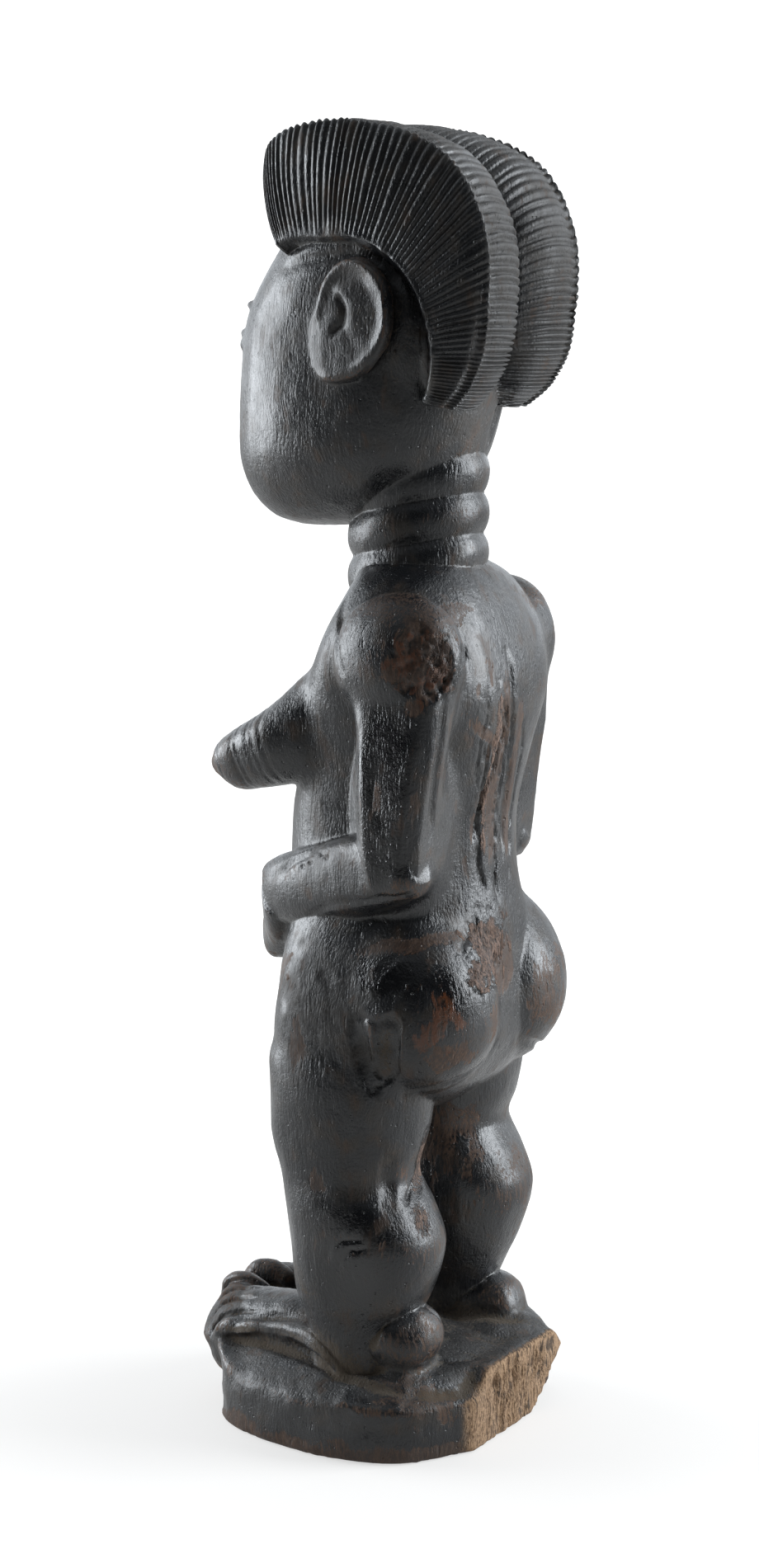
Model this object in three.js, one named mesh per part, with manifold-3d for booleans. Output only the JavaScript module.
// A standing female figure, carved with its base from one block of dark wood.
// Millimetres, +Z up. The origin is on the floor under the figure, which faces -Y, with its left side at +X.
// Each form is a closed shape bent from a plain one, and all of them are joined and cut into one solid.

import * as THREE from "three";
import { mergeVertices } from "three/addons/utils/BufferGeometryUtils.js";
import Module from "manifold-3d";

const wasm = await Module();
wasm.setup();

// Driving dimensions
const TOTAL_HEIGHT = 381;
const BASE_THICKNESS = 23;
const LEG_SPREAD = 25.5; // midline to the middle of a leg
const ARM_SPREAD = 37; // midline to the middle of an upper arm
const SHOULDER_HEIGHT = 231;
const ELBOW_HEIGHT = 173;
const NECK_RADIUS = 18.2;
const RING_SWELL = 1.8; // how far a neck ring stands out
const RING_TILT = 11.5; // degrees, the front of each ring lower than its back
const HEAD_HALF_WIDTH = 32.5;
const LOCKS = 42; // carved locks along each crest of hair
const LOCK_DEPTH = 0.8;

// Left wrist and fingertips
const WRIST = [23.5, -21.5, 160];
const FINGERTIPS = [8, -31.5, 141];

const LEFT = 1;
const RIGHT = -1;
const DEGREE = Math.PI / 180;

// A closed geometry as a manifold solid.
function solid(geometry) {
  const bare = new THREE.BufferGeometry()
    .setAttribute("position", geometry.attributes.position)
    .setIndex(geometry.index);
  const merged = mergeVertices(bare, 1e-3);
  return new wasm.Manifold(
    new wasm.Mesh({
      numProp: 3,
      vertProperties: new Float32Array(merged.attributes.position.array),
      triVerts: new Uint32Array(merged.index.array),
    }),
  );
}

// Moves every vertex of a geometry by a function from a point to a point.
function bend(geometry, move) {
  const position = geometry.attributes.position;
  const point = new THREE.Vector3();
  for (let i = 0; i < position.count; i++) {
    move(point.fromBufferAttribute(position, i));
    position.setXYZ(i, point.x, point.y, point.z);
  }
  return geometry;
}

// The same form on the other side of the midline, with its faces turned back outwards.
function mirrored(geometry) {
  const copy = geometry.clone().scale(-1, 1, 1);
  const index = copy.index.array;
  for (let i = 0; i < index.length; i += 3)
    [index[i + 1], index[i + 2]] = [index[i + 2], index[i + 1]];
  return copy;
}

// A signed power, which turns an ellipse into a squarer outline.
const squared = (value, square) => Math.sign(value) * Math.abs(value) ** (2 / square);

// A closed solid through level cross-sections. Each station gives z, the centre x and y, the half width,
// the reach to the front (-y) and to the back, and how square the outline is (2 is an ellipse).
function loft(stations, around, along) {
  const keys = ["x", "y", "z", "wide", "front", "back", "square"];
  const rest = { x: 0, y: 0, square: 2.2 };
  const samples = stations.flatMap((station) => {
    const row = { ...rest, ...station };
    return keys.map((key) => row[key] ?? row.deep);
  });
  const places = stations.map((_, i) => i);
  const curve = new THREE.CubicInterpolant(places, samples, keys.length);
  return bend(new THREE.CylinderGeometry(1, 1, 1, around, along), (point) => {
    const out = Math.hypot(point.x, point.z);
    const angle = Math.atan2(-point.z, point.x);
    const at = (point.y + 0.5) * (stations.length - 1);
    const [x, y, z, wide, front, back, square] = curve.evaluate(at);
    const side = out * wide * squared(Math.cos(angle), square);
    const depth = out * squared(Math.sin(angle), square);
    point.set(x + side, y + depth * (depth < 0 ? front : back), z);
  });
}

// Lays a form built along +z from one point to another. Its back then faces up and its front down.
function between(geometry, from, to) {
  const start = new THREE.Vector3(...from);
  const forward = new THREE.Vector3(...to).sub(start).normalize();
  const across = new THREE.Vector3(0, 0, 1).cross(forward).normalize();
  const up = forward.clone().cross(across);
  const turn = new THREE.Matrix4().makeBasis(across, up, forward).setPosition(start);
  return geometry.applyMatrix4(turn);
}

const ellipsoid = (centre, radii, around, along) =>
  new THREE.SphereGeometry(1, around, along)
    .rotateX(Math.PI / 2)
    .scale(...radii)
    .translate(...centre);

// A four-sided bar along a line, one edge of it outwards, to cut a V-shaped groove.
function graver(from, to, half) {
  const length = new THREE.Vector3(...from).distanceTo(new THREE.Vector3(...to));
  const bar = new THREE.CylinderGeometry(half, half, length, 4).rotateX(Math.PI / 2);
  return between(bar.translate(0, 0, length / 2), from, to);
}

const handed = (form, side) => (side === LEFT ? form : mirrored(form));

// Base: a worn slab with a low mound under the feet, split off flat behind.
function base() {
  const BREAK = 43;
  const outline = new THREE.Shape();
  outline.moveTo(26.5, BREAK);
  outline.splineThru(
    [
      [43.5, 28.5],
      [48.5, 7],
      [45, -19],
      [36.5, -35.5],
      [25.5, -44],
      [13, -51],
      [-3, -54],
      [-20, -52],
      [-37, -41],
      [-47, -20],
      [-49, 4],
      [-44, 26],
      [-33, BREAK],
    ].map(([x, y]) => new THREE.Vector2(x, y)),
  );
  outline.lineTo(-9, BREAK - 1);
  outline.lineTo(18, BREAK);
  const EDGE = 1.2;
  const slab = new THREE.ExtrudeGeometry(outline, {
    depth: BASE_THICKNESS - 2 * EDGE,
    curveSegments: 2,
    bevelThickness: EDGE,
    bevelSize: EDGE,
    bevelOffset: -EDGE / 2,
    bevelSegments: 1,
  }).translate(0, 0, EDGE);
  const mound = ellipsoid([0, -3, BASE_THICKNESS - 5], [45, 46, 10], 14, 4);
  return [slab, mound];
}

// The lower right corner of the break, split away aslant.
const brokenCorner = () =>
  new THREE.BoxGeometry(40, 30, 40)
    .translate(-20, 15, -20)
    .rotateY(42 * DEGREE)
    .rotateZ(-8 * DEGREE)
    .translate(-14, 31, -1.5);

// Foot, from the heel forward to the toes, which curl down over the front of the base.
function foot(side) {
  const stations = [
    { z: 0, wide: 4, front: 4, back: 4 },
    { z: 3, wide: 9, front: 7, back: 9 },
    { z: 10, wide: 11, front: 9, back: 12 },
    { z: 22, wide: 11.5, front: 9, back: 12 },
    { z: 42, wide: 13, front: 9, back: 16 },
    { z: 58, wide: 12, front: 9, back: 17 },
    { z: 73, wide: 12.5, front: 10, back: 15.5 },
    { z: 82, wide: 12, front: 12, back: 13 },
    { z: 86.5, wide: 10.5, front: 10, back: 9 },
  ];
  const lift = side === RIGHT ? 4 : 0; // the right heel stands higher
  const heel = [LEG_SPREAD + lift, 36, BASE_THICKNESS - 2 + lift];
  const toes = [LEG_SPREAD - 9.5, -48, BASE_THICKNESS - 2];
  // The small toes end further back than the great toe.
  const slant = (point) => {
    const front = THREE.MathUtils.smoothstep(-point.y, 25, 48);
    point.y += 0.4 * front * (point.x - toes[0]);
  };
  return handed(bend(between(loft(stations, 12, 9), heel, toes), slant), side);
}

// The four gaps between the toes of a foot.
function toeGaps(side) {
  return [-5.6, -1, 3.4, 7.6].map((across) => {
    const x = LEG_SPREAD - 9.5 + across;
    const set = across * 0.4;
    return handed(graver([x + 1.5, -30 + set, 37.5], [x, -53 + set, 25], 1.7), side);
  });
}

// Leg, from the ankle over the swelling calf and the bent knee to the hip.
function leg(side) {
  const right = side === RIGHT;
  const lift = right ? 6 : 0; // the right calf is carved a little higher
  const set = right ? 2 : 0; // and further back
  const stations = [
    { z: 18, y: 6, wide: 13, deep: 13 },
    { z: 33, y: 6.5, wide: 14.5, deep: 15 },
    { z: 46 + lift, y: 7.5 + set, wide: 18.5, front: 20, back: 20.5 },
    { z: 60 + lift, y: 8 + set, wide: 20.5, front: 21.5, back: 23.5 },
    { z: 71 + lift, y: 6 + set, wide: 20.5, front: 20.5, back: 21.5 },
    { z: 80 + lift, y: 4.5 + set, wide: 19.5, front: 20.5 + set, back: 18.5 },
    { z: 92 + lift / 2, y: 4 + set, wide: 20.5, front: 24.5 + set, back: 22 },
    { z: 108, y: 4 + set, wide: 22, front: 24.5 + set, back: 24 },
    { z: 126, x: LEG_SPREAD - 4, y: 5, wide: 19, front: 20, back: 20 },
  ].map((station) => ({ x: LEG_SPREAD, ...station }));
  return handed(loft(stations, 16, 13), side);
}

// Trunk, from the hips over the waist and the long back to the shoulders.
function trunk() {
  const stations = [
    { z: 97, y: 4, wide: 24, front: 14, back: 18 },
    { z: 106, y: 4, wide: 42, front: 24, back: 30, square: 2.5 },
    { z: 120, y: 4, wide: 46, front: 27, back: 37, square: 2.7 },
    { z: 138, y: 5, wide: 44, front: 27, back: 36, square: 2.6 },
    { z: 152, y: 6, wide: 38.5, front: 30.5, back: 34.5 },
    { z: 166, y: 7, wide: 33, front: 33, back: 31.5 },
    { z: 184, y: 7, wide: 31, front: 31.5, back: 31, square: 2.4 },
    { z: 202, y: 8, wide: 32, front: 27, back: 33, square: 2.8 },
    { z: 220, y: 12, wide: 36, front: 27, back: 31.5, square: 3.2 },
    { z: 236, y: 15, wide: 39, front: 23, back: 26, square: 2.8 },
    { z: 250, y: 15, wide: 32, front: 18, back: 20 },
    { z: 257, y: 12, wide: 19, front: 13, back: 16 },
  ];
  return loft(stations, 20, 14);
}

// Buttock, fuller below than above.
function buttock(side) {
  const RISE = 31;
  const DROP = 25;
  const ball = new THREE.SphereGeometry(1, 16, 9).rotateX(Math.PI / 2);
  return bend(ball, (point) => {
    const height = point.z * (point.z > 0 ? RISE : DROP);
    point.set(side * 21 + point.x * 24.5, 21.5 + point.y * 25, 129 + height);
  });
}

// Shoulder, the left one deeper than the right.
function shoulder(side) {
  const [y, reach] = side === LEFT ? [24, 20] : [20.5, 16.5];
  return ellipsoid([side * 34, y, SHOULDER_HEIGHT], [13.5, reach, 19], 14, 7);
}

// Breast, a long cone that spreads into the chest and hangs forward and down.
function breast(side) {
  const stations = [
    { z: 0, wide: 18, front: 21, back: 19 },
    { z: 6, wide: 16.5, front: 19, back: 15.5 },
    { z: 12, wide: 15.5, front: 17, back: 11.5 },
    { z: 20, wide: 13.5, front: 14.5, back: 9.2 },
    { z: 31, wide: 10.5, front: 12, back: 7.6 },
    { z: 38.5, wide: 7.5, front: 9.5, back: 6 },
    { z: 43.5, wide: 3, front: 3, back: 2 },
  ];
  const root = [20, -4, 213];
  const tip = [24, -41.5, 196.5];
  return handed(between(loft(stations, 12, 7), root, tip), side);
}

// Arm: a flat bar down to the elbow, then the forearm across to the wrist. The right arm is slimmer and
// its elbow is held further forward.
function arm(side) {
  const x = ARM_SPREAD;
  const pick = (left, right) => (side === LEFT ? left : right);
  const elbow = [x + 0.5, pick(26, 17.5), ELBOW_HEIGHT];
  const upper = [
    { z: 165, x: x + 0.5, y: pick(27, 18.5), wide: 6, deep: 7 },
    { z: ELBOW_HEIGHT, x: x + 0.5, y: elbow[1], wide: 8.5, deep: 10.5 },
    { z: 188, x: x + 0.5, y: pick(25.5, 18), wide: 8.5, deep: pick(12.3, 11.8) },
    { z: 210, x, y: pick(27, 20.5), wide: 8.5, deep: pick(14.3, 12.5) },
    { z: 228, x: x - 2, y: pick(26, 20), wide: 9, deep: pick(16, 14) },
  ].map((station) => ({ square: 3.2, ...station }));
  const fore = [
    { z: -9, wide: 5, deep: 6 },
    { z: -4, wide: 8, deep: 9 },
    { z: 12, wide: 9, deep: 11.5 },
    { z: 28, wide: 9, deep: 11 },
    { z: 44, wide: 8, deep: 10.5 },
    { z: 53, wide: 6, deep: 9 },
  ].map((station) => ({ square: 2.6, ...station }));
  return [
    handed(loft(upper, 12, 5), side),
    handed(between(loft(fore, 12, 6), elbow, WRIST), side),
  ];
}

// Hand, bent round the belly with the fingers pointing in and down.
function hand(side) {
  const stations = [
    { z: 0, wide: 6, deep: 9.5 },
    { z: 8, wide: 6.5, deep: 10.5, x: -1 },
    { z: 17, wide: 6.5, deep: 10, x: -1.5 },
    { z: 26, wide: 5.5, deep: 9, x: 0 },
    { z: 30, wide: 3, deep: 6.5, x: 1 },
  ].map((station) => ({ square: 2.8, ...station }));
  return handed(between(loft(stations, 12, 5), WRIST, FINGERTIPS), side);
}

// The three gaps between the fingers of a hand.
function fingerGaps(side) {
  return [-4.8, 0, 4.8].map((across) => {
    const gap = graver([5.6, across, 12], [4.8, across * 0.8, 33], 1.8);
    return handed(between(gap, WRIST, FINGERTIPS), side);
  });
}

// Neck: three swelling rings, each lower in front than behind.
function neck() {
  const RINGS = 3;
  const PITCH = 11.6;
  const STEPS = 3;
  const profile = [new THREE.Vector2(0, 0)];
  for (let i = 0; i <= RINGS * STEPS; i++) {
    const swell = Math.abs(Math.sin((i / STEPS) * Math.PI));
    profile.push(new THREE.Vector2(NECK_RADIUS + RING_SWELL * swell, (PITCH * i) / STEPS));
  }
  profile.push(new THREE.Vector2(0, profile.at(-1).y));
  const slope = Math.tan(RING_TILT * DEGREE);
  return bend(new THREE.LatheGeometry(profile, 16).rotateX(Math.PI / 2), (point) => {
    point.set(point.x, point.y + 10.8, point.z + 249 + point.y * slope);
  });
}

// Head: full jaw and cheeks, narrowing to the crown under the hair.
function head() {
  const W = HEAD_HALF_WIDTH;
  const stations = [
    { z: 265.5, y: -20, wide: 5, front: 8, back: 8 },
    { z: 268.5, y: -16, wide: W * 0.5, front: 19, back: 20 },
    { z: 275, y: -11, wide: W * 0.74, front: 30, back: 30 },
    { z: 284, y: -8, wide: W * 0.9, front: 36, back: 36 },
    { z: 295, y: -5, wide: W * 0.98, front: 39, back: 37 },
    { z: 310, y: -4, wide: W, front: 39, back: 40 },
    { z: 325, y: -3, wide: W * 0.98, front: 38, back: 41 },
    { z: 340, y: 0, wide: W * 0.92, front: 33, back: 38 },
    { z: 354, y: 4, wide: W * 0.76, front: 27, back: 30 },
    { z: 364, y: 6, wide: W * 0.4, front: 16, back: 16 },
  ];
  return loft(stations, 18, 12);
}

// Ear: a shallow oval dish with a raised rim and a ridge within.
function ear(side) {
  const profile = [
    [0, 0],
    [0.9, 0],
    [1, 2.6],
    [0.88, 5.4],
    [0.7, 3.2],
    [0, 2.6],
  ].map(([out, height]) => new THREE.Vector2(out, height));
  const dish = new THREE.LatheGeometry(profile, 14).rotateZ(-Math.PI / 2).scale(1, 17, 14);
  const ridge = ellipsoid([2.6, 0, 1], [2.6, 6.5, 4.5], 6, 4);
  // The dish is turned so that its long way stands upright.
  return [dish.rotateX(Math.PI / 2), ridge.rotateX(Math.PI / 2)]
    .map((form) =>
      form
        .rotateX(-14 * DEGREE)
        .rotateZ(-6 * DEGREE)
        .translate(HEAD_HALF_WIDTH - 1.5, 7, 325),
    )
    .map((form) => handed(form, side));
}

// Face: brow, eyes, nose and lips of a plain, calm design.
function face() {
  const nose = between(
    loft(
      [
        { z: 0, wide: 2, deep: 1.5 },
        { z: 8, wide: 2.8, front: 3, back: 3 },
        { z: 18, wide: 5, front: 5, back: 4.6 },
        { z: 23, wide: 6, front: 5, back: 4.2 },
        { z: 25.5, wide: 4, deep: 2 },
      ],
      8,
      5,
    ),
    [0, -40, 329],
    [0, -44.5, 303.5],
  );
  const lips = [294, 290].map((z) => ellipsoid([0, -43.4, z], [7.5, 3.4, 2.3], 8, 4));
  // The eyes and brows follow the round of the face.
  const turned = (radii, centre) =>
    ellipsoid([0, 0, 0], radii, 8, 4)
      .rotateZ(27 * DEGREE)
      .translate(...centre);
  const eye = turned([7, 3.6, 3.2], [13, -37, 317.5]);
  const brow = turned([10, 3.6, 2], [13, -36.2, 326.5]);
  const pairs = [LEFT, RIGHT].flatMap((side) => [handed(eye, side), handed(brow, side)]);
  return [nose, ...lips, ...pairs];
}

// Crests of hair: two thick rolls side by side from the brow over the crown to the nape, with a deep
// parting between them, scored across by locks. A station is one turn about the middle of the head:
// the angle of the rim, how much further round the hairline lies, how far out the hairline and the rim
// are, and how far the rim is from the parting.
function crests() {
  const centre = { y: 5, z: TOTAL_HEIGHT - 66 };
  const keys = ["angle", "fan", "hairline", "rim", "half"];
  const turns = [
    [121, 8, 38.5, 62, 24],
    [114, 8, 37.5, 67, 25],
    [98, 5, 33.5, 66.5, 26.5],
    [82, 2, 32.5, 64.7, 27.5],
    [62, 0, 31, 63.8, 28],
    [42, 0, 29.5, 57.3, 28],
    [20, 0, 28, 48, 27.5],
    [0, 0, 27.5, 43, 26.5],
    [-14, -2, 27, 39, 25],
    [-30, -2, 26, 33.6, 22],
  ];
  const curve = new THREE.CubicInterpolant(
    turns.map((_, i) => i),
    turns.flat(),
    keys.length,
  );
  // Corners of a cross-section, from the parting over the rim to the hairline and in below the skin.
  const corners = [
    ({ rim }) => [0, rim - 7],
    ({ half, rim }) => [half * 0.45, rim],
    ({ half, rim }) => [half, rim - 2.5],
    ({ half, rim, hairline }) => [half + 3.6, (rim + hairline) / 2],
    ({ half, hairline }) => [half + 5.5, hairline],
    ({ hairline }) => [0, hairline - 7],
  ];
  const PARTING = 0;
  const RIM = 2;
  const HAIRLINE = 4;
  const SKIN = 5;
  const form = new THREE.CylinderGeometry(1, 1, 1, 2 * SKIN, LOCKS * 2);
  return bend(form, (point) => {
    const out = Math.hypot(point.x, point.z);
    const along = point.y + 0.5;
    const [angle, fan, hairline, rim, half] = curve.evaluate(along * (turns.length - 1));
    const turn = Math.round((Math.atan2(point.x, point.z) * SKIN) / Math.PI);
    const k = Math.abs(turn);
    const side = Math.sign(turn);
    const [x, radius] = corners[k]({ hairline, rim, half });
    const valley = Math.round(along * LOCKS * 2) % 2 === 1 && k > PARTING && k <= HAIRLINE;
    const sunk = valley ? LOCK_DEPTH : 0;
    const middle = (hairline + rim) / 2;
    const reach = middle + (radius - middle - (k <= RIM ? sunk : 0)) * out;
    const round = (angle + (fan * (rim - reach)) / (rim - hairline)) * DEGREE;
    point.set(
      side * (x - (k >= RIM ? sunk : 0)) * out,
      centre.y + reach * Math.cos(round),
      centre.z + reach * Math.sin(round),
    );
  });
}

// The cleft between the buttocks and the furrow of the spine.
const furrows = () => [
  graver([0, 46.5, 160], [0, 48.5, 100], 8),
  graver([0, 42, 158], [0, 45.5, 232], 5.5),
];

// Everything is one block, so all forms are joined into a single solid and the fine gaps cut into it.
function figure() {
  const forms = [...base(), trunk(), neck(), head(), crests(), ...face()];
  const gaps = [brokenCorner(), ...furrows()];
  for (const side of [LEFT, RIGHT]) {
    forms.push(foot(side), leg(side), buttock(side), shoulder(side), breast(side));
    forms.push(...arm(side), hand(side), ...ear(side));
    gaps.push(...toeGaps(side), ...fingerGaps(side));
  }
  const join = (whole, form) => whole.add(form);
  const cut = (whole, gap) => whole.subtract(gap);
  return gaps.map(solid).reduce(cut, forms.map(solid).reduce(join));
}

// A manifold solid as a flat-shaded geometry.
function geometryOf(body) {
  const { vertProperties, triVerts } = body.getMesh();
  const geometry = new THREE.BufferGeometry()
    .setAttribute("position", new THREE.BufferAttribute(vertProperties, 3))
    .setIndex(new THREE.BufferAttribute(triVerts, 1))
    .toNonIndexed();
  geometry.computeVertexNormals();
  return geometry;
}

const wood = new THREE.MeshStandardMaterial({ color: 0x1c1a19, roughness: 0.42, metalness: 0 });

const statue = new THREE.Mesh(geometryOf(figure()), wood);
statue.name = "female_figure";

const group = new THREE.Group();
group.add(statue);

export default group;
